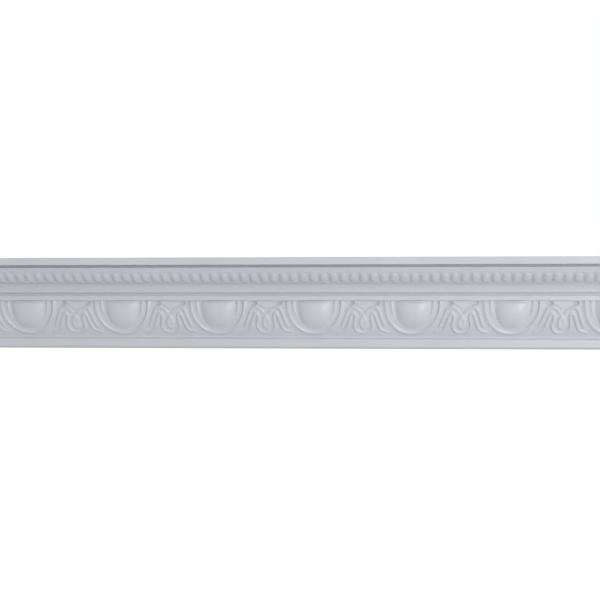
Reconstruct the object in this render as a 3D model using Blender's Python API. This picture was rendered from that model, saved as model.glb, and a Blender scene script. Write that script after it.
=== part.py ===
# Cornice length in foamed PVC: a bead row over a cove, and an ovolo carved with eggs, husks and leaves.
# X runs along the wall, +Y points into the wall, +Z is up. The origin is the middle of the wall seat. Metres.
import math

import bmesh
import bpy
from mathutils import Vector

for old in list(bpy.data.objects):
    bpy.data.objects.remove(old, do_unlink=True)

# The length, and the two flats that touch the room
LENGTH = 0.692
WALL_SEAT = 0.016
CEILING_SEAT = 0.022

# Heights of the members, from the ceiling down
FASCIA_HEIGHT = 0.0075
TOP_QUIRK_HEIGHT = 0.0033
TOP_FILLET_HEIGHT = 0.0042
BEAD_LEDGE_HEIGHT = 0.0019
BEAD_BAND_HEIGHT = 0.0100
BEAD_DIP_HEIGHT = 0.0011
COVE_HEIGHT = 0.0094
COVE_QUIRK_HEIGHT = 0.0033
MID_FILLET_HEIGHT = 0.0061
MID_QUIRK_HEIGHT = 0.0027
OVOLO_HEIGHT = 0.0389
TOE_QUIRK_HEIGHT = 0.0017
FOOT_FILLET_HEIGHT = 0.0109

# How far each member stands out from the one below it, from the wall outwards
FOOT_REACH = 0.0112
TOE_STEP = -0.0012
MID_FILLET_STEP = 0.0036
COVE_QUIRK_STEP = -0.0025
COVE_STEP = 0.0015
BEAD_DIP_STEP = -0.0009
BEAD_BAND_STEP = 0.0007
BEAD_BAND_DEPTH = 0.0150
TOP_FILLET_STEP = 0.0016
TOP_QUIRK_STEP = -0.0030
FASCIA_STEP = 0.0119

# Slopes of the curved members, as angles from upright, and their rounded edges
OVOLO_TOP_ANGLE = math.radians(6)
OVOLO_TOE_ANGLE = math.radians(46)
COVE_TOP_ANGLE = math.radians(64)
COVE_FOOT_ANGLE = math.radians(10)
FOOT_ROUNDING = 0.0034
EDGE_CHAMFER = 0.0008
OVOLO_FACETS = 5
COVE_FACETS = 4
FOOT_FACETS = 4

# Eggs and the husk round each
EGG_PITCH = 0.108
FIRST_EGG = 0.053
EGG_HALF_WIDTH = 0.0184
EGG_CROWN = 0.0019
EGG_RELIEF = 0.0064
EGG_TOP_RELIEF = 0.0040
EGG_SWELL = 0.0100
HUSK_HALF_WIDTH = 0.0302
HUSK_TOE_CLEARANCE = 0.0047    # from the husk's foot to the ovolo's toe
HUSK_EGG_CLEARANCE = 0.0066    # from the egg's foot to the husk's foot
HUSK_RIM = 0.0024
RIM_LIFT = -0.0001
HUSK_STEPS = 14

# Leaves between the husks: strokes as shares of the leaf's half width and of the ovolo's height
LEAF_HALF_WIDTH = 0.0286
LEAF_STROKE = 0.0016
LEAF_LIFT = -0.0001
ARCH_OUTSIDE = [(0.84, 0.66), (0.70, 0.42), (0.60, 0.22), (0.51, 0.13)]
ARCH_INSIDE = [(0.40, 0.10), (0.26, 0.15), (0.15, 0.23), (0.08, 0.31)]
CURL_OUTSIDE = [(1.00, 0.83), (0.68, 0.74), (0.55, 0.54), (0.47, 0.37), (0.385, 0.28)]
CURL_INSIDE = [(0.30, 0.37), (0.32, 0.50), (0.365, 0.61), (0.33, 0.74), (0.18, 0.83)]
CURL_FOOT = (0.0, 0.86)
STROKE_TIP = 0.45
BUD_HALF_WIDTH = 0.0042
BUD_TOP = 0.0125
BUD_FOOT_CLEARANCE = 0.00295   # from the bud's foot to the curl's foot
BUD_RELIEF = 0.0030
BUD_NARROWING = 0.35
WEDGE_HALF_WIDTH = 0.0105
WEDGE_HEIGHT = 0.0078
WEDGE_RELIEF = 0.0012
WEDGE_TAPER = 0.75

# Beads
BEAD_PITCH = 0.0109
FIRST_BEAD = 0.0062
BEAD_HALF_WIDTH = 0.0043
BEAD_HALF_LENGTH = 0.0068
BEAD_RELIEF = 0.0025

# Corners and rings of the blank balls
EGG_BLANK = (16, 10)
BUD_BLANK = (8, 6)
BEAD_BLANK = (8, 4)

SETTING = 0.0003    # how deep an ornament's widest ring lies in the ground that carries it
ROOT = 0.0015       # how much deeper its root goes
END_SPARE = 0.040   # length that is moulded past each end before the ends are cut

HUSK_HEIGHT = OVOLO_HEIGHT - HUSK_TOE_CLEARANCE
EGG_HEIGHT = HUSK_HEIGHT - HUSK_EGG_CLEARANCE
BUD_HEIGHT = CURL_FOOT[1] * OVOLO_HEIGHT - BUD_TOP - BUD_FOOT_CLEARANCE

OVOLO_RADIUS = OVOLO_HEIGHT / (math.sin(OVOLO_TOE_ANGLE) - math.sin(OVOLO_TOP_ANGLE))
OVOLO_DEPTH = OVOLO_RADIUS * (math.cos(OVOLO_TOP_ANGLE) - math.cos(OVOLO_TOE_ANGLE))
COVE_RADIUS = COVE_HEIGHT / (math.sin(COVE_TOP_ANGLE) - math.sin(COVE_FOOT_ANGLE))
COVE_DEPTH = COVE_RADIUS * (math.cos(COVE_FOOT_ANGLE) - math.cos(COVE_TOP_ANGLE))

# Reach of each member from the wall
TOE_REACH = FOOT_REACH + TOE_STEP
OVOLO_REACH = TOE_REACH + OVOLO_DEPTH
MID_FILLET_REACH = OVOLO_REACH + MID_FILLET_STEP
COVE_QUIRK_REACH = MID_FILLET_REACH + COVE_QUIRK_STEP
COVE_FOOT_REACH = COVE_QUIRK_REACH + COVE_STEP
BEAD_DIP_REACH = COVE_FOOT_REACH + COVE_DEPTH + BEAD_DIP_STEP
BEAD_FOOT_REACH = BEAD_DIP_REACH + BEAD_BAND_STEP
BEAD_TOP_REACH = BEAD_FOOT_REACH + BEAD_BAND_DEPTH
TOP_FILLET_REACH = BEAD_TOP_REACH + TOP_FILLET_STEP
TOP_QUIRK_REACH = TOP_FILLET_REACH + TOP_QUIRK_STEP
FASCIA_REACH = TOP_QUIRK_REACH + FASCIA_STEP

# Drop of each member's top edge below the ceiling
TOP_QUIRK_DROP = FASCIA_HEIGHT
TOP_FILLET_DROP = TOP_QUIRK_DROP + TOP_QUIRK_HEIGHT
BEAD_LEDGE_DROP = TOP_FILLET_DROP + TOP_FILLET_HEIGHT
BEAD_BAND_DROP = BEAD_LEDGE_DROP + BEAD_LEDGE_HEIGHT
BEAD_DIP_DROP = BEAD_BAND_DROP + BEAD_BAND_HEIGHT
COVE_DROP = BEAD_DIP_DROP + BEAD_DIP_HEIGHT
COVE_QUIRK_DROP = COVE_DROP + COVE_HEIGHT
MID_FILLET_DROP = COVE_QUIRK_DROP + COVE_QUIRK_HEIGHT
MID_QUIRK_DROP = MID_FILLET_DROP + MID_FILLET_HEIGHT
OVOLO_DROP = MID_QUIRK_DROP + MID_QUIRK_HEIGHT
TOE_QUIRK_DROP = OVOLO_DROP + OVOLO_HEIGHT
FOOT_DROP = TOE_QUIRK_DROP + TOE_QUIRK_HEIGHT
TOTAL_DROP = FOOT_DROP + FOOT_FILLET_HEIGHT

CEILING_Z = TOTAL_DROP - WALL_SEAT / 2


def ovolo_at(down):
    """Reach, drop and slope of the ovolo at a height below its top edge."""
    angle = math.asin(math.sin(OVOLO_TOP_ANGLE) + down / OVOLO_RADIUS)
    reach = OVOLO_REACH - OVOLO_RADIUS * (math.cos(OVOLO_TOP_ANGLE) - math.cos(angle))
    return reach, OVOLO_DROP + down, angle


def on_ovolo(x, down, proud):
    """A point that stands proud of the ovolo, square to its surface."""
    reach, drop, angle = ovolo_at(down)
    return Vector((x, -reach - proud * math.cos(angle), CEILING_Z - drop - proud * math.sin(angle)))


def on_bead_band(x, along, proud):
    """A point that stands proud of the sloping bead band, at a distance down the slope from its middle."""
    slope = Vector((0, BEAD_BAND_DEPTH, -BEAD_BAND_HEIGHT)).normalized()
    outward = Vector((0, slope.z, -slope.y))
    middle = Vector((x, -BEAD_FOOT_REACH - BEAD_BAND_DEPTH / 2, CEILING_Z - BEAD_BAND_DROP - BEAD_BAND_HEIGHT / 2))
    return middle + slope * along + outward * proud


def section_points():
    """The outline of the section as (reach, drop), down the face and back up behind it."""
    edge = EDGE_CHAMFER
    points = [(FASCIA_REACH - CEILING_SEAT, 0), (FASCIA_REACH - edge, 0), (FASCIA_REACH, edge)]
    points += [(FASCIA_REACH, FASCIA_HEIGHT - edge), (FASCIA_REACH - edge, FASCIA_HEIGHT)]
    points += [(TOP_QUIRK_REACH, TOP_QUIRK_DROP + edge), (TOP_QUIRK_REACH, TOP_FILLET_DROP)]
    points += [(TOP_FILLET_REACH, TOP_FILLET_DROP + edge / 2), (TOP_FILLET_REACH, BEAD_LEDGE_DROP)]
    points += [(BEAD_TOP_REACH, BEAD_LEDGE_DROP + edge), (BEAD_TOP_REACH, BEAD_BAND_DROP)]
    points += [(BEAD_FOOT_REACH, BEAD_DIP_DROP), (BEAD_DIP_REACH, BEAD_DIP_DROP + BEAD_DIP_HEIGHT / 2)]
    for step in range(COVE_FACETS + 1):
        angle = COVE_TOP_ANGLE + (COVE_FOOT_ANGLE - COVE_TOP_ANGLE) * step / COVE_FACETS
        reach = COVE_FOOT_REACH + COVE_RADIUS * (math.cos(COVE_FOOT_ANGLE) - math.cos(angle))
        points.append((reach, COVE_DROP + COVE_RADIUS * (math.sin(COVE_TOP_ANGLE) - math.sin(angle))))
    points += [(COVE_QUIRK_REACH, COVE_QUIRK_DROP + edge), (COVE_QUIRK_REACH, MID_FILLET_DROP)]
    points += [(MID_FILLET_REACH - edge, MID_FILLET_DROP), (MID_FILLET_REACH, MID_FILLET_DROP + edge)]
    points += [(MID_FILLET_REACH, MID_QUIRK_DROP - edge), (MID_FILLET_REACH - edge, MID_QUIRK_DROP)]
    points.append((OVOLO_REACH, MID_QUIRK_DROP + edge))
    for step in range(OVOLO_FACETS + 1):
        points.append(ovolo_at(OVOLO_HEIGHT * step / OVOLO_FACETS)[:2])
    points.append((TOE_REACH, FOOT_DROP - edge / 2))
    points += [(FOOT_REACH - edge, FOOT_DROP), (FOOT_REACH, FOOT_DROP + edge)]
    for step in range(FOOT_FACETS + 1):
        angle = math.pi / 2 * step / FOOT_FACETS
        reach = FOOT_REACH - FOOT_ROUNDING * (1 - math.cos(angle))
        points.append((reach, TOTAL_DROP - FOOT_ROUNDING * (1 - math.sin(angle))))
    points += [(0, TOTAL_DROP), (0, TOTAL_DROP - WALL_SEAT)]
    return points


def make_collection(name):
    collection = bpy.data.collections.new(name)
    bpy.context.scene.collection.children.link(collection)
    return collection


def as_mesh(curve_object, collection):
    """Turns a curve into a mesh object with welded caps and removes the curve."""
    graph = bpy.context.evaluated_depsgraph_get()
    mesh = bpy.data.meshes.new_from_object(curve_object.evaluated_get(graph))
    shell = bmesh.new()
    shell.from_mesh(mesh)
    bmesh.ops.remove_doubles(shell, verts=shell.verts, dist=0.000001)
    bmesh.ops.recalc_face_normals(shell, faces=shell.faces)
    shell.to_mesh(mesh)
    shell.free()
    name = curve_object.name
    place = curve_object.matrix_world.copy()
    bpy.data.objects.remove(curve_object, do_unlink=True)
    solid = bpy.data.objects.new(name, mesh)
    solid.matrix_world = place
    collection.objects.link(solid)
    return solid


def extruded_section(name, collection):
    """The plain moulding without ornament, with spare length at both ends."""
    curve = bpy.data.curves.new(name, "CURVE")
    curve.dimensions = "2D"
    curve.fill_mode = "BOTH"
    curve.extrude = LENGTH / 2 + END_SPARE
    points = section_points()
    spline = curve.splines.new("POLY")
    spline.points.add(len(points) - 1)
    for point, (reach, drop) in zip(spline.points, points):
        point.co = (reach, CEILING_Z - drop, 0, 1)
    spline.use_cyclic_u = True
    outline = bpy.data.objects.new(name, curve)
    outline.rotation_euler = (math.pi / 2, 0, -math.pi / 2)
    collection.objects.link(outline)
    bpy.context.view_layer.update()
    return as_mesh(outline, collection)


def strokes(name, paths, radius, collection, tip=1.0):
    """Round raised strokes, one along each path, narrowed at both ends to the share that tip gives."""
    curve = bpy.data.curves.new(name, "CURVE")
    curve.dimensions = "3D"
    curve.bevel_depth = radius
    curve.bevel_resolution = 1
    curve.use_fill_caps = True
    for path in paths:
        spline = curve.splines.new("POLY")
        spline.points.add(len(path) - 1)
        for point, place in zip(spline.points, path):
            point.co = (*place, 1)
        spline.points[0].radius = tip
        spline.points[-1].radius = tip
    tube = bpy.data.objects.new(name, curve)
    collection.objects.link(tube)
    bpy.context.view_layer.update()
    return as_mesh(tube, collection)


def wrapped(name, centres, blank, place, collection):
    """One closed blank at each centre, each of its points moved to where place puts it."""
    cluster = bmesh.new()
    for centre in centres:
        points = blank(cluster)
        for point in points:
            point.co = place(centre, *point.co)
    bmesh.ops.recalc_face_normals(cluster, faces=cluster.faces)
    mesh = bpy.data.meshes.new(name)
    cluster.to_mesh(mesh)
    cluster.free()
    solid = bpy.data.objects.new(name, mesh)
    collection.objects.link(solid)
    return solid


def ball(segments, rings):
    """A blank: the unit ball with its poles on the axis that points out of the ground."""
    return lambda cluster: bmesh.ops.create_uvsphere(
        cluster, u_segments=segments, v_segments=rings, radius=1)["verts"]


def flat_wedge(cluster):
    """A blank: a three-sided plate that narrows to its face, with one corner pointing down."""
    return bmesh.ops.create_cone(
        cluster, cap_ends=True, segments=3, radius1=1, radius2=WEDGE_TAPER, depth=2)["verts"]


def raised(height, relief):
    """Height above the ground. A blank's widest ring lies just inside the ground, and its root lies deeper."""
    return height * (relief + SETTING if height > 0 else ROOT) - SETTING


def place_egg(x, across, down, out):
    share = min(1.0, max(0.0, down) * EGG_HEIGHT / EGG_SWELL)
    relief = EGG_TOP_RELIEF + (EGG_RELIEF - EGG_TOP_RELIEF) * math.sin(share * math.pi / 2)
    fall = down * (EGG_HEIGHT if down > 0 else EGG_CROWN)
    return on_ovolo(x + across * EGG_HALF_WIDTH, fall, raised(out, relief))


def place_bud(x, across, down, out):
    narrowing = 1 + BUD_NARROWING * down
    fall = BUD_TOP + BUD_HEIGHT * (1 + down) / 2
    return on_ovolo(x + across * BUD_HALF_WIDTH * narrowing, fall, raised(out, BUD_RELIEF))


def place_wedge(x, across, down, out):
    """The blank's corners lie on a circle of radius 1, one of them straight down."""
    flat_side = math.cos(math.radians(60))
    half_side = math.sin(math.radians(60))
    fall = WEDGE_HEIGHT * (down + flat_side) / (1 + flat_side)
    return on_ovolo(x + across / half_side * WEDGE_HALF_WIDTH, fall, raised(out, WEDGE_RELIEF))


def place_bead(x, across, down, out):
    """The blank's rings are turned by half a side, so that a flat faces the next bead."""
    turn = math.pi / BEAD_BLANK[0]
    wide = (across * math.cos(turn) - down * math.sin(turn)) / math.cos(turn)
    tall = (across * math.sin(turn) + down * math.cos(turn)) / math.cos(turn)
    return on_bead_band(x + wide * BEAD_HALF_WIDTH, tall * BEAD_HALF_LENGTH, raised(out, BEAD_RELIEF))


def rim_path(x, half_width, height, steps):
    """Half an ellipse that hangs from the ovolo's top edge round an egg."""
    path = []
    for step in range(steps + 1):
        turn = math.pi * step / steps
        path.append(on_ovolo(x - half_width * math.cos(turn), height * math.sin(turn), RIM_LIFT))
    return path


def leaf_path(x, shares, side):
    """A leaf stroke: side is 1 for the right half of the leaf and -1 for the left half."""
    return [on_ovolo(x + side * wide * LEAF_HALF_WIDTH, fall * OVOLO_HEIGHT, LEAF_LIFT) for wide, fall in shares]


def curl_path(x):
    """The curl runs from the left tip, under the bud, to the right tip."""
    half = CURL_OUTSIDE + CURL_INSIDE
    return leaf_path(x, half + [CURL_FOOT], -1) + leaf_path(x, half[::-1], 1)


def centres(first, pitch, margin):
    """Places along the length, counted from the left end, that still touch it."""
    count_before = math.floor((first + margin) / pitch)
    places = []
    x = first - count_before * pitch
    while x < LENGTH + margin:
        places.append(x - LENGTH / 2)
        x += pitch
    return places


def pvc_material():
    material = bpy.data.materials.new("moulded_pvc")
    material.use_nodes = True
    shader = material.node_tree.nodes["Principled BSDF"]
    shader.inputs["Base Color"].default_value = (0.76, 0.78, 0.82, 1)
    shader.inputs["Roughness"].default_value = 0.45
    shader.inputs["Metallic"].default_value = 0.0
    return material


def add_boolean(target, name, operation, operand=None, group=None):
    boolean = target.modifiers.new(name, "BOOLEAN")
    boolean.operation = operation
    boolean.solver = "EXACT"
    if group:
        boolean.operand_type = "COLLECTION"
        boolean.collection = group
    else:
        boolean.object = operand


def build():
    parts = make_collection("pvc_cove_moulding")
    ornaments = make_collection("ornaments")
    guides = make_collection("guides")

    eggs = centres(FIRST_EGG, EGG_PITCH, HUSK_HALF_WIDTH + HUSK_RIM)
    leaves = centres(FIRST_EGG + EGG_PITCH / 2, EGG_PITCH, LEAF_HALF_WIDTH + LEAF_STROKE)
    beads = centres(FIRST_BEAD, BEAD_PITCH, BEAD_HALF_WIDTH)

    wrapped("eggs", eggs, ball(*EGG_BLANK), place_egg, ornaments)
    husks = [rim_path(x, HUSK_HALF_WIDTH, HUSK_HEIGHT, HUSK_STEPS) for x in eggs]
    strokes("husk_rims", husks, HUSK_RIM, ornaments)
    strokes("leaf_curls", [curl_path(x) for x in leaves], LEAF_STROKE, ornaments, STROKE_TIP)
    for name, side in (("left", -1), ("right", 1)):
        arches = [leaf_path(x, ARCH_OUTSIDE + ARCH_INSIDE, side) for x in leaves]
        strokes("leaf_arches_" + name, arches, LEAF_STROKE, ornaments, STROKE_TIP)
    wrapped("leaf_buds", leaves, ball(*BUD_BLANK), place_bud, ornaments)
    wrapped("leaf_wedges", leaves, flat_wedge, place_wedge, ornaments)
    wrapped("bead_row", beads, ball(*BEAD_BLANK), place_bead, ornaments)

    moulding = extruded_section("cove_moulding", parts)
    moulding.data.materials.clear()
    moulding.data.materials.append(pvc_material())
    add_boolean(moulding, "ornament", "UNION", group=ornaments)

    bpy.ops.mesh.primitive_cube_add(size=1)
    saw = bpy.context.active_object
    saw.name = "square_ends"
    saw_size = 2 * (TOTAL_DROP + FASCIA_REACH)
    saw.scale = (LENGTH, saw_size, saw_size)
    for collection in list(saw.users_collection):
        collection.objects.unlink(saw)
    guides.objects.link(saw)
    add_boolean(moulding, "square_ends", "INTERSECT", operand=saw)

    for helper in list(ornaments.objects) + list(guides.objects):
        helper.hide_render = True
        helper.display_type = "WIRE"


build()
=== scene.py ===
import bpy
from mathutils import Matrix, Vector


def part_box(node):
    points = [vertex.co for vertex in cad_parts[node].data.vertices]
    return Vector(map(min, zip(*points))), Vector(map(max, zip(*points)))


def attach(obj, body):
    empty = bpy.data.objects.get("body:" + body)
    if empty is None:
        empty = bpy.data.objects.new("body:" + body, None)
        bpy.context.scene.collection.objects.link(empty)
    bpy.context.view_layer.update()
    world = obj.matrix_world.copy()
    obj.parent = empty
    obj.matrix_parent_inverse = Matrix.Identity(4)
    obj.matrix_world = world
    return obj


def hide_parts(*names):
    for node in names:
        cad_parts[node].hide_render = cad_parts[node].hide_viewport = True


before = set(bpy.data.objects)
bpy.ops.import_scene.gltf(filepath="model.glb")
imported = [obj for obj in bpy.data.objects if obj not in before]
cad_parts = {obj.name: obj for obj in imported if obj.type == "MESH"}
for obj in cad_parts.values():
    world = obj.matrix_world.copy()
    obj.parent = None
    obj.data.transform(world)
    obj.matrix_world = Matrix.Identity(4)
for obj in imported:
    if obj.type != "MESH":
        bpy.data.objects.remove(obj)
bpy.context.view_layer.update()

import ast
import math

import bpy
from mathutils import Vector

mm = 0.001
nodeName = "cove_moulding"
low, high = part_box(nodeName)
length = high.x - low.x
ceiling = high.z          # height of the ceiling seat above the origin
leftEnd = low.x

# Section of the moulding, in millimetres: heights of its members from the ceiling down, then the steps in and
# out from one member to the one above it
section = {
    "wallSeat": 16.0, "ceilingSeat": 22.0,
    "fascia": 7.9, "topQuirk": 2.6, "topFillet": 4.5, "beadLedge": 0.7, "beadBand": 11.2, "beadDip": 1.1,
    "cove": 9.4, "coveQuirk": 3.3, "midFillet": 6.1, "midQuirk": 2.7, "ovolo": 38.9, "toeQuirk": 1.7,
    "foot": 10.9,
    "footReach": 11.2, "toeStep": -1.2, "midFilletStep": 3.6, "coveQuirkStep": -3.0, "coveStep": 2.0,
    "beadDipStep": -0.9, "beadBandStep": 0.7, "beadBandDepth": 15.0, "topFilletStep": 3.5,
    "topQuirkStep": -4.4, "fasciaStep": 11.4,
    "ovoloAngles": (6.0, 46.0), "coveAngles": (64.0, 10.0),   # degrees that the arc faces down, top and foot
    # leans: how far one edge of a face stands out from its other edge
    "fasciaLean": 0.9, "topQuirkLean": 1.2, "topFilletLean": 3.3,
    # insets: how far a corner lies from the edge of its member
    "topQuirkInsets": (0.5, 0.3), "ledgeInset": 0.2, "bandInset": 0.1, "coveQuirkInset": 1.6,
    "midFilletInset": 0.2, "ovoloInset": 0.05, "toeQuirkInset": 0.15, "footInset": 0.3,
    "toeLip": 1.8, "toeQuirkOut": 0.3, "footBevel": (5.6, 2.4),    # bevel under the foot: depth and height
    "ovoloRise": (2.6, 2.0, 1.3, 0.6),       # rows above the ovolo's top edge, which the forms' tops reach
}

# Radii of the section's corners, in millimetres
radii = {
    "seats": 0.3, "fasciaTop": 0.8, "fasciaFoot": 0.56, "topQuirk": 0.5, "topFilletTop": 0.48,
    "topFilletFoot": 0.8, "beadLedge": 0.1, "beadDip": 0.2, "coveQuirkTop": 0.6, "coveQuirkFoot": 0.4,
    "midFillet": 0.8, "toeQuirk": 0.2, "footTop": 1.0, "footNose": 1.2, "footTurn": 0.6,
}

# Ornament on the ovolo and the bead band, in millimetres
ornament = {
    "eggPitch": 108.0, "firstEgg": 53.0,
    "eggHalfWidth": 18.4, "eggHeight": 27.6, "eggRelief": 6.3, "eggTopRelief": 4.1, "eggSwell": 14.0,
    "eggTuckStart": 2.6, "eggTuckLength": 1.8,           # the egg thins above the ovolo's top edge
    "huskHalfWidth": 29.8, "huskHeight": 32.8, "huskSlope": 3.8, "huskStep": 1.4, "huskRelief": 2.1,
    "budHalfWidth": 4.7, "budTop": 12.9, "budHeight": 16.0, "budRelief": 1.75,
    "budGroove": 1.0, "budGrooveHalfWidth": 2.4,
    "wedgeHalfWidth": 10.5, "wedgeHeight": 7.2, "wedgeRelief": 1.0, "wedgeBevel": 1.2,
    "pocketAside": 13.9, "pocketHalfWidth": 4.2, "pocketHeight": 2.5, "pocketDepth": 2.4,
    "beadPitch": 10.9, "firstBead": 6.2, "beadHalfWidth": 4.7, "beadHalfLength": 8.3, "beadRelief": 2.0,
}

# How full or how narrow the forms are: powers and shares, so without a unit
fullness = {
    "eggPower": 2.5, "eggDome": 0.95, "eggTuckShare": 0.7, "huskPower": 2.1, "huskFall": 1.3,
    "budNarrowing": 0.12, "budPower": 2.8, "budTip": 0.05, "budGrooveEnds": 1.4,
    "beadPower": 3.2, "beadDome": 0.95,
}

# Raised strokes: the lining in each husk, and the arch and the curl on each side of a leaf. Sizes are in
# millimetres, tapers in shares of a stroke. Points are shares of leafHalfWidth from the leaf's middle, and of
# the ovolo's height
strokes = {
    "liningHalfWidth": 23.0, "liningHeight": 29.6, "liningRim": 1.4, "liningRelief": 1.0, "liningFoot": 0.05,
    "liningStart": 3.0, "liningTurn": 34.0,
    "leafHalfWidth": 28.6, "leafStroke": 1.45, "leafRelief": 1.8, "leafTip": 0.8,
    "startTaper": 0.25, "endTaper": 0.4,
    "arch": [(0.84, 0.66), (0.70, 0.42), (0.60, 0.22), (0.51, 0.14), (0.40, 0.12), (0.29, 0.14),
             (0.18, 0.195), (0.10, 0.27)],
    "curl": [(1.00, 0.83), (0.68, 0.74), (0.55, 0.54), (0.47, 0.37), (0.385, 0.28), (0.30, 0.37),
             (0.32, 0.50), (0.355, 0.61), (0.315, 0.73), (0.18, 0.81), (0.0, 0.84)],
}

# Mesh: spacings in millimetres, angles in degrees
meshing = {
    "ovoloRow": 0.88, "beadRow": 0.95, "column": 0.62, "coveSteps": 12,
    "strokeStep": 0.4, "liningSteps": 60,
    "arcStep": 15.0,                         # one facet of a rounded corner turns by this at most
    "cornerShare": 0.45,                     # a rounded corner uses this much of the side beside it at most
    "support": 0.12, "supportShare": 0.1,    # a row just past a rounded corner keeps the flat beside it flat
    "smoothing": 0.6, "sharpAngle": 38.0,
}

# What a row of the section belongs to. The root is the row that the carving starts from, and stays in place
bands = {"plain": 0, "ovolo": 1, "beads": 2, "root": 3}


def linearColour(code):
    # sRGB hex to the linear values Blender's colour sockets hold
    parts = [int(code[i:i + 2], 16) / 255 for i in (1, 3, 5)]
    return [p / 12.92 if p <= 0.04045 else ((p + 0.055) / 1.055) ** 2.4 for p in parts] + [1.0]


def addNode(tree, kind, inputs=None, **settings):
    # one node with its settings, its links and its fixed values
    node = tree.nodes.new(kind)
    for name, value in settings.items():
        setattr(node, name, value)
    for key, value in (inputs or {}).items():
        if isinstance(value, bpy.types.NodeSocket):
            tree.links.new(value, node.inputs[key])
        else:
            node.inputs[key].default_value = value
    return node


mathNames = {ast.Add: "ADD", ast.Sub: "SUBTRACT", ast.Mult: "MULTIPLY", ast.Div: "DIVIDE", ast.Pow: "POWER"}
callNames = {"max": "MAXIMUM", "min": "MINIMUM", "sqrt": "SQRT", "abs": "ABSOLUTE", "sin": "SINE",
             "pingpong": "PINGPONG", "less": "LESS_THAN"}


def formula(tree, text, known):
    # writes a formula as Math nodes, so that a relief reads as one line; returns the socket with its value
    def socketOf(term):
        if isinstance(term, ast.Constant):
            return float(term.value)
        if isinstance(term, ast.Name):
            return known[term.id]
        if isinstance(term, ast.BinOp):
            operation, terms = mathNames[type(term.op)], [term.left, term.right]
        else:
            operation, terms = callNames[term.func.id], term.args
        inputs = {i: socketOf(t) for i, t in enumerate(terms)}
        return addNode(tree, "ShaderNodeMath", inputs, operation=operation).outputs[0]
    return socketOf(ast.parse(text).body[0].value)


def arcAngles(member):
    return [math.radians(angle) for angle in section[member + "Angles"]]


def arcRadius(member):
    # radius of the arc that fills the member's height between its two angles
    top, foot = arcAngles(member)
    return section[member] / abs(math.sin(foot) - math.sin(top))


def arcAt(down):
    # distance along the ovolo's curve at a height below its top edge
    top, radius = arcAngles("ovolo")[0], arcRadius("ovolo")
    return radius * (math.asin(math.sin(top) + down / radius) - top)


def memberTops():
    # how far below the ceiling each member begins, and where the foot ends
    tops, drop = {}, 0.0
    for member in ("fascia", "topQuirk", "topFillet", "beadLedge", "beadBand", "beadDip", "cove", "coveQuirk",
                   "midFillet", "midQuirk", "ovolo", "toeQuirk", "foot"):
        tops[member] = drop
        drop += section[member]
    tops["end"] = drop
    return tops


def memberReaches():
    # how far each member stands out from the wall, worked out from the foot up
    ovoloTop, ovoloToe = arcAngles("ovolo")
    coveTop, coveFoot = arcAngles("cove")
    reach = {"foot": section["footReach"]}
    reach["toe"] = reach["foot"] + section["toeStep"]
    reach["ovolo"] = reach["toe"] + arcRadius("ovolo") * (math.cos(ovoloTop) - math.cos(ovoloToe))
    reach["midFillet"] = reach["ovolo"] + section["midFilletStep"]
    reach["coveQuirk"] = reach["midFillet"] + section["coveQuirkStep"]
    reach["coveFoot"] = reach["coveQuirk"] + section["coveStep"]
    coveTopReach = reach["coveFoot"] + arcRadius("cove") * (math.cos(coveFoot) - math.cos(coveTop))
    reach["beadDip"] = coveTopReach + section["beadDipStep"]
    reach["beadFoot"] = reach["beadDip"] + section["beadBandStep"]
    reach["beadTop"] = reach["beadFoot"] + section["beadBandDepth"]
    reach["topFillet"] = reach["beadTop"] + section["topFilletStep"]
    reach["topQuirk"] = reach["topFillet"] + section["topQuirkStep"]
    reach["fascia"] = reach["topQuirk"] + section["fasciaStep"]
    return reach


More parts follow.
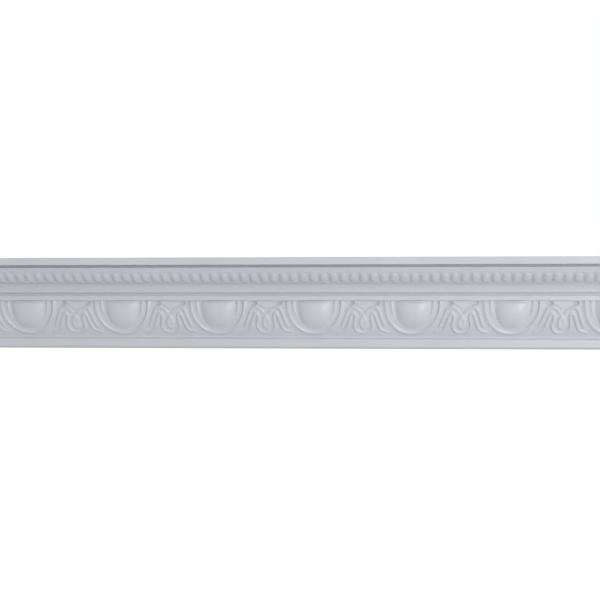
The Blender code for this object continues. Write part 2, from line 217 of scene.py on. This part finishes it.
def sectionRows():
    # rows round the section, in millimetres: reach, drop, radius, way out, distance along its band, and band
    s, top, reach = section, memberTops(), memberReaches()
    rows = []

    def corner(away, drop, radius=0.0):
        rows.append((away, drop, radius, None, 0.0, bands["plain"]))

    corner(reach["fascia"] - s["ceilingSeat"], 0.0, radii["seats"])
    corner(reach["fascia"] - s["fasciaLean"], 0.0, radii["fasciaTop"])
    corner(reach["fascia"], top["topQuirk"], radii["fasciaFoot"])
    corner(reach["topQuirk"] + s["topQuirkLean"], top["topQuirk"] + s["topQuirkInsets"][0], radii["topQuirk"])
    corner(reach["topQuirk"], top["topFillet"] - s["topQuirkInsets"][1], radii["topQuirk"])
    corner(reach["topFillet"], top["topFillet"], radii["topFilletTop"])
    ledge = top["beadLedge"] + s["ledgeInset"]
    corner(reach["topFillet"] - s["topFilletLean"], ledge, radii["topFilletFoot"])
    corner(reach["beadTop"], ledge, radii["beadLedge"])
    corner(reach["beadTop"], top["beadBand"] - s["bandInset"])

    slope = Vector((-s["beadBandDepth"], s["beadBand"])).normalized()
    bandLength = math.hypot(s["beadBandDepth"], s["beadBand"])
    count = round(bandLength / meshing["beadRow"])
    for step in range(count + 1):
        t = step / count
        away, drop = reach["beadTop"] - s["beadBandDepth"] * t, top["beadBand"] + s["beadBand"] * t
        rows.append((away, drop, 0.0, (slope.y, -slope.x), bandLength * (t - 0.5), bands["beads"]))
    corner(reach["beadDip"], top["beadDip"] + s["beadDip"] / 2, radii["beadDip"])

    coveTop, coveFoot = arcAngles("cove")
    coveRadius = arcRadius("cove")
    for step in range(meshing["coveSteps"] + 1):
        angle = coveTop + (coveFoot - coveTop) * step / meshing["coveSteps"]
        corner(reach["coveFoot"] + coveRadius * (math.cos(coveFoot) - math.cos(angle)),
               top["cove"] + coveRadius * (math.sin(coveTop) - math.sin(angle)))
    corner(reach["coveQuirk"], top["coveQuirk"] + s["coveQuirkInset"], radii["coveQuirkTop"])
    corner(reach["coveQuirk"], top["midFillet"], radii["coveQuirkFoot"])
    corner(reach["midFillet"], top["midFillet"] + s["midFilletInset"], radii["midFillet"])
    corner(reach["midFillet"], top["midQuirk"], radii["midFillet"])

    ovoloTop, ovoloToe = arcAngles("ovolo")
    ovoloRadius = arcRadius("ovolo")
    crown = (math.cos(ovoloTop), math.sin(ovoloTop))
    rows.append((reach["ovolo"], top["midQuirk"] + s["ovoloInset"], 0.0, (0.0, 0.0), 0.0, bands["root"]))
    for above in s["ovoloRise"]:
        rows.append((reach["ovolo"], top["ovolo"] - above, 0.0, crown, -above, bands["ovolo"]))
    count = round(arcAt(s["ovolo"]) / meshing["ovoloRow"])
    for step in range(count + 1):
        angle = ovoloTop + (ovoloToe - ovoloTop) * step / count
        away = reach["ovolo"] - ovoloRadius * (math.cos(ovoloTop) - math.cos(angle))
        drop = top["ovolo"] + ovoloRadius * (math.sin(angle) - math.sin(ovoloTop))
        out = (math.cos(angle), math.sin(angle))
        along = ovoloRadius * (angle - ovoloTop)
        rows.append((max(reach["toe"] + s["toeLip"], away), drop, 0.0, out, along, bands["ovolo"]))

    bevelDepth, bevelHeight = s["footBevel"]
    corner(reach["toe"] + s["toeQuirkOut"], top["toeQuirk"] + s["toeQuirkInset"], radii["toeQuirk"])
    corner(reach["foot"], top["foot"] + s["footInset"], radii["footTop"])
    corner(reach["foot"], top["end"] - bevelHeight, radii["footNose"])
    corner(reach["foot"] - bevelDepth, top["end"], radii["footTurn"])
    corner(0.0, top["end"], radii["seats"])
    corner(0.0, top["end"] - s["wallSeat"], radii["seats"])
    return rounded(rows)


def rounded(rows):
    # turns each corner that has a radius into an arc; rows come out as (place, way out, along, band)
    result = []
    for i, (reach, drop, radius, out, along, band) in enumerate(rows):
        here = Vector((reach, drop))
        if not radius:
            result.append((here, out or (0.0, 0.0), along, band))
            continue
        before = Vector(rows[i - 1][:2]) - here
        after = Vector(rows[(i + 1) % len(rows)][:2]) - here
        turn = math.pi - before.angle(after)
        most = meshing["cornerShare"]
        trim = min(radius * math.tan(turn / 2), most * before.length, most * after.length)
        radius = trim / math.tan(turn / 2)
        first, last = here + before.normalized() * trim, here + after.normalized() * trim
        middle = (before.normalized() + after.normalized()).normalized()
        centre = here + middle * (radius / math.cos(turn / 2))
        steps = max(2, math.ceil(math.degrees(turn) / meshing["arcStep"]))
        share = meshing["supportShare"]
        support = min(meshing["support"], share * before.length, share * after.length)
        places = [first + before.normalized() * support]
        for step in range(steps + 1):
            places.append(centre + (first - centre).slerp(last - centre, step / steps).normalized() * radius)
        places.append(last + after.normalized() * support)
        result += [(place, (0.0, 0.0), 0.0, bands["plain"]) for place in places]
    return result


def smoothPath(points, spacing):
    # an even walk along a smooth curve through the points
    walk = []
    for i in range(len(points) - 1):
        a, b = Vector(points[max(i - 1, 0)]), Vector(points[i])
        c, d = Vector(points[i + 1]), Vector(points[min(i + 2, len(points) - 1)])
        count = max(2, math.ceil((c - b).length / spacing))
        bend = 2 * a - 5 * b + 4 * c - d
        twist = 3 * b - a - 3 * c + d
        for step in range(count):
            t = step / count
            walk.append(0.5 * (2 * b + (c - a) * t + bend * t * t + twist * t ** 3))
    return walk + [Vector(points[-1])]


def strokeLines():
    # centre lines over half an egg pitch, x from the egg's middle and y down, each with its width, its relief
    # and the share of them at its two ends
    s = strokes
    half = ornament["eggPitch"] / 2
    steps = meshing["liningSteps"]
    turns = [math.radians(s["liningTurn"]) * step / steps for step in range(steps + 1)]
    lining = [(s["liningHalfWidth"] * math.cos(t), s["liningHeight"] * math.sin(t)) for t in turns]
    lining = [(lining[0][0], -s["liningStart"])] + lining
    lines = [(lining, s["liningRim"], s["liningRelief"], 1.0, s["liningFoot"])]
    for name, endTip in (("arch", s["leafTip"]), ("curl", 1.0)):
        flat = [(half - wide * s["leafHalfWidth"], fall * section["ovolo"]) for wide, fall in s[name]]
        path = smoothPath(flat, meshing["strokeStep"])
        lines.append((path, s["leafStroke"], s["leafRelief"], s["leafTip"], endTip))
    return lines


def strokeGuides():
    # the centre lines as one flat object, with the width and the relief of the stroke stored on their points
    points, edges, widths, reliefs = [], [], [], []
    for flat, width, relief, startTip, endTip in strokeLines():
        start = len(points)
        for i, (x, down) in enumerate(flat):
            share = i / (len(flat) - 1)
            taper = min(1.0, startTip + (1 - startTip) * share / strokes["startTaper"],
                        endTip + (1 - endTip) * (1 - share) / strokes["endTaper"])
            arc = arcAt(down) if down >= 0 else down
            points.append((x * mm, arc * mm, 0.0))
            widths.append(width * taper * mm)
            reliefs.append(relief * taper * mm)
        edges += [(i, i + 1) for i in range(start, len(points) - 1)]
    mesh = bpy.data.meshes.new("strokeGuides")
    mesh.from_pydata(points, edges, [])
    for name, values in (("halfWidth", widths), ("relief", reliefs)):
        mesh.attributes.new(name, "FLOAT", "POINT").data.foreach_set("value", values)
    guide = bpy.data.objects.new("strokeGuides", mesh)
    bpy.context.scene.collection.objects.link(guide)
    return guide


def sectionObject():
    # the section as a closed line, with what the relief needs to know stored on its points
    rows = sectionRows()
    mesh = bpy.data.meshes.new("sectionLine")
    mesh.from_pydata([(place.x * mm, place.y * mm, 0) for place, out, along, band in rows],
                     [(i, (i + 1) % len(rows)) for i in range(len(rows))], [])
    stored = {
        "reach": [place.x * mm for place, out, along, band in rows],
        "drop": [place.y * mm for place, out, along, band in rows],
        "outReach": [out[0] for place, out, along, band in rows],
        "outDrop": [out[1] for place, out, along, band in rows],
        "along": [along * mm for place, out, along, band in rows],
        "band": [float(band) for place, out, along, band in rows],
    }
    for name, values in stored.items():
        mesh.attributes.new(name, "FLOAT", "POINT").data.foreach_set("value", values)
    line = bpy.data.objects.new("carvedMoulding", mesh)
    bpy.context.scene.collection.objects.link(line)
    return line


def namedValue(tree, name):
    return addNode(tree, "GeometryNodeInputNamedAttribute", {"Name": name}, data_type="FLOAT").outputs[0]


def sweptSection(tree, given, known):
    # the section along a straight line as long as the moulding, with closed ends
    start = addNode(tree, "ShaderNodeCombineXYZ", {0: given["leftEnd"]}).outputs[0]
    end = addNode(tree, "ShaderNodeCombineXYZ", {0: formula(tree, "leftEnd + length", known)}).outputs[0]
    line = addNode(tree, "GeometryNodeCurvePrimitiveLine", {0: start, 1: end}).outputs[0]
    path = addNode(tree, "GeometryNodeResampleCurve", {"Curve": line, "Count": given["columns"]}).outputs[0]
    profile = addNode(tree, "GeometryNodeMeshToCurve", {0: given["Geometry"]}).outputs[0]
    sweep = {"Curve": path, "Profile Curve": profile, "Fill Caps": True}
    return addNode(tree, "GeometryNodeCurveToMesh", sweep).outputs[0]


def strokeValues(tree, given, known):
    # how near the closest centre line is, and the width and relief stored on it
    flat = addNode(tree, "ShaderNodeCombineXYZ", {0: known["aside"], 1: known["along"]}).outputs[0]
    guides = addNode(tree, "GeometryNodeObjectInfo", {0: given["guide"]}).outputs["Geometry"]
    search = {"Geometry": guides, "Sample Position": flat}
    known["gap"] = addNode(tree, "GeometryNodeProximity", search, target_element="EDGES").outputs["Distance"]
    nearest = addNode(tree, "GeometryNodeSampleNearest", search).outputs[0]
    for name in ("halfWidth", "relief"):
        sample = {"Geometry": guides, "Value": namedValue(tree, name), "Index": nearest}
        known[name] = addNode(tree, "GeometryNodeSampleIndex", sample).outputs[0]


def carvingTree(sizes):
    # sweeps the section along the length and raises the ornament out of it
    tree = bpy.data.node_groups.new("carvedLength", "GeometryNodeTree")
    face = tree.interface
    face.new_socket("Geometry", in_out="INPUT", socket_type="NodeSocketGeometry")
    face.new_socket("Geometry", in_out="OUTPUT", socket_type="NodeSocketGeometry")
    for name in sizes:
        face.new_socket(name, in_out="INPUT", socket_type="NodeSocketFloat")
    face.new_socket("columns", in_out="INPUT", socket_type="NodeSocketInt")
    face.new_socket("guide", in_out="INPUT", socket_type="NodeSocketObject")
    face.new_socket("material", in_out="INPUT", socket_type="NodeSocketMaterial")
    given = tree.nodes.new("NodeGroupInput").outputs
    known = {name: given[name] for name in sizes}

    def work(name, text):
        known[name] = formula(tree, text, known)

    swept = sweptSection(tree, given, known)
    for name in ("reach", "drop", "outReach", "outDrop", "along", "band"):
        known[name] = namedValue(tree, name)
    place = addNode(tree, "GeometryNodeInputPosition").outputs[0]
    known["x"] = addNode(tree, "ShaderNodeSeparateXYZ", {0: place}).outputs[0]

    # distances from the middles of the nearest egg and leaf, and height below the ovolo's top edge
    work("aside", "pingpong(x - leftEnd - firstEgg, eggPitch / 2)")
    work("leaf", "eggPitch / 2 - aside")
    work("down", "ovoloRadius * (sin(ovoloTop + along / ovoloRadius) - sin(ovoloTop))")

    strokeValues(tree, given, known)
    work("stroke", "relief * sqrt(max(0, 1 - (gap / halfWidth) ** 2))")

    # the egg swells from its cut top to its full relief, and thins where it meets the quirk
    work("eggFill", "max(0, 1 - (aside / eggHalfWidth) ** eggPower - (max(0, down) / eggHeight) ** eggPower)")
    work("eggSwelling", "sin(min(1, max(0, down) / eggSwell) * quarterTurn)")
    work("eggTuck", "max(eggTuckShare, min(1, (along + eggTuckStart) / eggTuckLength))")
    work("eggRise", "eggTopRelief + (eggRelief - eggTopRelief) * eggSwelling")
    work("egg", "eggTuck * eggFill ** eggDome * eggRise")

    # the husk is a ridge round the egg: steep inside, a long slope outside
    work("huskRing", "(aside / huskHalfWidth) ** huskPower + (max(0, down) / huskHeight) ** huskPower")
    work("huskShare", "huskRing ** huskRoot - 1")
    work("huskOutside", "1 - huskShare * huskHeight / huskSlope")
    work("huskInside", "1 + huskShare * huskHeight / huskStep")
    work("huskWall", "sin(quarterTurn * max(0, min(1, huskInside)))")
    work("husk", "huskRelief * min(max(0, huskOutside) ** huskFall, huskWall)")

    # the bud in the leaf's middle, with a groove down it
    work("budShare", "2 * (down - budTop) / budHeight - 1")
    work("budTaper", "max(budTip, 1 - abs(budShare) ** budPower)")
    work("budEdge", "budHalfWidth * (1 + budNarrowing * budShare) * budTaper")
    work("budDome", "budRelief * sqrt(max(0, 1 - (leaf / budEdge) ** 2))")
    work("budCut", "1 - (leaf / budGrooveHalfWidth) ** 2 - (budShare * budGrooveEnds) ** 2")
    work("budHollow", "budGroove * max(0, budCut)")
    work("bud", "less(abs(budShare), 1) * (budDome - budHollow)")

    # the wedge between a leaf's two arches, and the pockets at the husks' shoulders
    work("wedgeInside", "wedgeHeight * (1 - leaf / wedgeHalfWidth) - down")
    work("wedge", "wedgeRelief * max(0, min(1, wedgeInside / wedgeBevel))")
    work("pocketFill", "1 - ((leaf - pocketAside) / pocketHalfWidth) ** 2 - (down / pocketHeight) ** 2")
    work("pocket", "pocketDepth * sqrt(max(0, pocketFill))")
    work("carved", "max(max(max(stroke, husk), egg), max(bud, wedge)) - pocket")

    work("beadAside", "pingpong(x - leftEnd - firstBead, beadPitch / 2)")
    work("beadFill", "1 - (beadAside / beadHalfWidth) ** 2 - (abs(along) / beadHalfLength) ** beadPower")
    work("bead", "beadRelief * max(0, beadFill) ** beadDome")

    work("onOvolo", f"less(abs(band - {bands['ovolo']}), 0.5) + less(abs(band - {bands['root']}), 0.5)")
    work("onBeads", f"less(abs(band - {bands['beads']}), 0.5)")
    work("rough", "onOvolo * carved + onBeads * bead")
    blur = {"Value": known["rough"], "Iterations": 1, "Weight": meshing["smoothing"]}
    known["height"] = addNode(tree, "GeometryNodeBlurAttribute", blur, data_type="FLOAT").outputs[0]
    where = addNode(tree, "ShaderNodeCombineXYZ", {
        0: known["x"],
        1: formula(tree, "0 - reach - outReach * height", known),
        2: formula(tree, "ceiling - drop - outDrop * height", known),
    }).outputs[0]
    shaped = addNode(tree, "GeometryNodeSetPosition", {"Geometry": swept, "Position": where}).outputs[0]
    real = addNode(tree, "GeometryNodeRealizeInstances", {"Geometry": shaped}).outputs[0]
    coat = {"Geometry": real, "Material": given["material"]}
    finished = addNode(tree, "GeometryNodeSetMaterial", coat).outputs[0]
    addNode(tree, "NodeGroupOutput", {0: finished})
    return tree


def carvedMoulding(material, endMaterial):
    line, guide = sectionObject(), strokeGuides()
    sizes = {name: value * mm for name, value in ornament.items()}
    sizes.update(fullness)
    sizes.update({
        "leftEnd": leftEnd, "length": length, "ceiling": ceiling,
        "ovoloRadius": arcRadius("ovolo") * mm, "ovoloTop": arcAngles("ovolo")[0],
        "quarterTurn": math.pi / 2, "huskRoot": 1 / fullness["huskPower"],
    })
    tree = carvingTree(sizes)
    carving = line.modifiers.new("carving", "NODES")
    carving.node_group = tree
    columns = round(length / (meshing["column"] * mm)) + 1
    values = dict(sizes, columns=columns, guide=guide, material=material)
    for item in tree.interface.items_tree:
        if item.in_out == "INPUT" and item.name in values:
            carving[item.identifier] = values[item.name]
    line.update_tag()
    bpy.context.view_layer.update()
    graph = bpy.context.evaluated_depsgraph_get()
    mesh = bpy.data.meshes.new_from_object(line.evaluated_get(graph))
    line.modifiers.clear()
    line.data = joinPlainStrips(mesh, endMaterial)
    bpy.data.objects.remove(guide)
    return line


def joinPlainStrips(mesh, endMaterial):
    # between plain rows the small quads become one long face each, and the two ends get the sawn finish
    places = [vertex.co.copy() for vertex in mesh.vertices]
    carved = [item.value > 0.5 for item in mesh.attributes["band"].data]
    rowCount = sum(1 for place in places if abs(place.x - leftEnd) < 0.01 * mm)
    lastColumn = len(places) // rowCount - 1
    ends = (0, lastColumn)
    used = [range(lastColumn + 1) if carved[row] else ends for row in range(rowCount)]
    numbers, points, faces = {}, [], []
    for row, columns in enumerate(used):
        for column in columns:
            numbers[column, row] = len(points)
            points.append(places[column * rowCount + row])
    for row in range(rowCount):
        below = (row + 1) % rowCount
        if used[row] is ends or used[below] is ends:
            upper = [numbers[column, row] for column in used[row]]
            faces.append([numbers[column, below] for column in used[below]] + upper[::-1])
            continue
        for column in range(lastColumn):
            lower = [numbers[column, below], numbers[column + 1, below]]
            faces.append(lower + [numbers[column + 1, row], numbers[column, row]])
    faces.append([numbers[0, row] for row in reversed(range(rowCount))])
    faces.append([numbers[lastColumn, row] for row in range(rowCount)])
    joined = bpy.data.meshes.new("carvedMoulding")
    joined.from_pydata(points, [], faces)
    joined.materials.append(mesh.materials[0])
    joined.materials.append(endMaterial)
    for face in joined.polygons:
        face.use_smooth = face.index < len(faces) - 2
        face.material_index = 0 if face.use_smooth else 1
    joined.set_sharp_from_angle(angle=math.radians(meshing["sharpAngle"]))
    joined.validate()
    return joined


# Finishes: sRGB colours, and in millimetres the size of each pattern and the depth of its bumps
mouldedFinish = {
    "colours": ("#bcbec5", "#c5c7cc"), "roughness": 0.42, "ior": 1.53,
    "cloud": 71.43, "cloudDetail": 3.0, "grain": 1.111, "grainDetail": 2.0,
    "bumpDepth": 0.2, "bumpStrength": 0.05,
}
sawnFinish = {
    "colours": ("#c4c6cc", "#dcdde0"), "roughness": 0.8, "ior": 1.45,
    "cell": 0.7143, "bumpDepth": 0.2, "bumpStrength": 0.25,
}


def emptyMaterial(name):
    material = bpy.data.materials.new(name)
    material.use_nodes = True
    material.node_tree.nodes.clear()
    return material


def finishSurface(tree, finish, pattern, height):
    # the two colours mixed by the pattern, the bumps of the height, and the shader over both
    first, second = (linearColour(code) for code in finish["colours"])
    tint = addNode(tree, "ShaderNodeMix", {0: pattern, 6: first, 7: second}, data_type="RGBA").outputs[2]
    relief = {"Height": height, "Strength": finish["bumpStrength"], "Distance": finish["bumpDepth"] * mm}
    bump = addNode(tree, "ShaderNodeBump", relief).outputs[0]
    shader = addNode(tree, "ShaderNodeBsdfPrincipled", {
        "Base Color": tint, "Roughness": finish["roughness"], "IOR": finish["ior"], "Normal": bump})
    addNode(tree, "ShaderNodeOutputMaterial", {"Surface": shader.outputs[0]})


def mouldedPvc():
    # foamed PVC with the skin it gets in the mould: a cool white, satin, slightly cloudy, with a faint grain.
    # The real grain is finer, and is drawn coarser so that it still softens the highlights
    f = mouldedFinish
    material = emptyMaterial("mouldedFoamPvc")
    tree = material.node_tree
    coords = addNode(tree, "ShaderNodeTexCoord").outputs["Object"]
    cloud = addNode(tree, "ShaderNodeTexNoise", {
        "Vector": coords, "Scale": 1 / (f["cloud"] * mm), "Detail": f["cloudDetail"]}).outputs["Fac"]
    grain = addNode(tree, "ShaderNodeTexNoise", {
        "Vector": coords, "Scale": 1 / (f["grain"] * mm), "Detail": f["grainDetail"]}).outputs["Fac"]
    finishSurface(tree, f, cloud, grain)
    return material


def sawnPvc():
    # the same foamed PVC where a saw opened its cells: duller, pitted, without the skin. Real cells are a
    # fraction of a millimetre, and are drawn coarser so that they show
    material = emptyMaterial("sawnFoamPvc")
    tree = material.node_tree
    coords = addNode(tree, "ShaderNodeTexCoord").outputs["Object"]
    cells = addNode(tree, "ShaderNodeTexVoronoi", {
        "Vector": coords, "Scale": 1 / (sawnFinish["cell"] * mm)}).outputs["Distance"]
    finishSurface(tree, sawnFinish, cells, cells)
    return material


# Camera: level, before the face and turned a little to the left as in the photo. Metres, degrees, lens in mm
view = {
    "distance": 1.125, "aside": 0.0930, "height": 0.0470, "yawLeft": 4.06, "lens": 59.58,
    "clip": (0.05, 50.0),
}


def addCamera():
    data = bpy.data.cameras.new("camera")
    data.lens = view["lens"]
    data.clip_start, data.clip_end = view["clip"]
    camera = bpy.data.objects.new("camera", data)
    camera.location = (view["aside"], -view["distance"], view["height"])
    camera.rotation_euler = (math.pi / 2, 0, math.radians(view["yawLeft"]))
    bpy.context.scene.collection.objects.link(camera)
    bpy.context.scene.camera = camera


# Studio, in metres and watts: a white sky, a pale floor below, and one softbox at the right, level with the
# moulding, whose slanting light brings out the relief
studio = {
    "floorDrop": 0.24, "floorSize": 60.0, "floorColour": "#e6e6e6", "floorRoughness": 0.9,
    "floorGlow": 0.35, "glowColour": "#ffffff",      # only the camera sees the glow
    "skyColour": "#ffffff", "skyForCamera": 1.0, "skyForLight": 0.83,
    "rightBox": {"at": (1.35, -1.7, 0.03), "aim": (0.0, 0.0, 0.04), "size": 0.5, "power": 15.5},
}


def addFloor():
    mesh = bpy.data.meshes.new("floor")
    half = studio["floorSize"] / 2
    z = low.z - studio["floorDrop"]
    corners = [(-half, -half, z), (half, -half, z), (half, half, z), (-half, half, z)]
    mesh.from_pydata(corners, [], [(0, 1, 2, 3)])
    floor = bpy.data.objects.new("floor", mesh)
    bpy.context.scene.collection.objects.link(floor)
    paint = emptyMaterial("paleFloorPaint")
    tree = paint.node_tree
    rays = addNode(tree, "ShaderNodeLightPath").outputs["Is Camera Ray"]
    glow = addNode(tree, "ShaderNodeMath", {0: rays, 1: studio["floorGlow"]}, operation="MULTIPLY").outputs[0]
    shader = addNode(tree, "ShaderNodeBsdfPrincipled", {
        "Base Color": linearColour(studio["floorColour"]), "Roughness": studio["floorRoughness"],
        "Emission Color": linearColour(studio["glowColour"]), "Emission Strength": glow})
    addNode(tree, "ShaderNodeOutputMaterial", {"Surface": shader.outputs[0]})
    mesh.materials.append(paint)


def addSky():
    world = bpy.data.worlds.new("studioSky")
    bpy.context.scene.world = world
    world.use_nodes = True
    tree = world.node_tree
    tree.nodes.clear()
    colour = linearColour(studio["skyColour"])
    seen = addNode(tree, "ShaderNodeBackground", {"Color": colour, "Strength": studio["skyForCamera"]})
    lit = addNode(tree, "ShaderNodeBackground", {"Color": colour, "Strength": studio["skyForLight"]})
    rays = addNode(tree, "ShaderNodeLightPath").outputs["Is Camera Ray"]
    mix = addNode(tree, "ShaderNodeMixShader", {0: rays, 1: lit.outputs[0], 2: seen.outputs[0]})
    addNode(tree, "ShaderNodeOutputWorld", {0: mix.outputs[0]})


def addSoftbox():
    box = studio["rightBox"]
    light = bpy.data.lights.new("rightBox", "AREA")
    light.energy, light.size = box["power"], box["size"]
    lamp = bpy.data.objects.new("rightBox", light)
    lamp.location = box["at"]
    lamp.rotation_euler = (lamp.location - Vector(box["aim"])).to_track_quat("Z", "Y").to_euler()
    bpy.context.scene.collection.objects.link(lamp)


bpy.context.scene.view_settings.view_transform = "Standard"
addCamera()
print("camera set")
moulding = carvedMoulding(mouldedPvc(), sawnPvc())
moulding.data.calc_loop_triangles()
print("moulding carved:", len(moulding.data.loop_triangles), "triangles")
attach(moulding, "root")
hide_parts(nodeName)
addFloor()
addSky()
addSoftbox()
print("studio set")
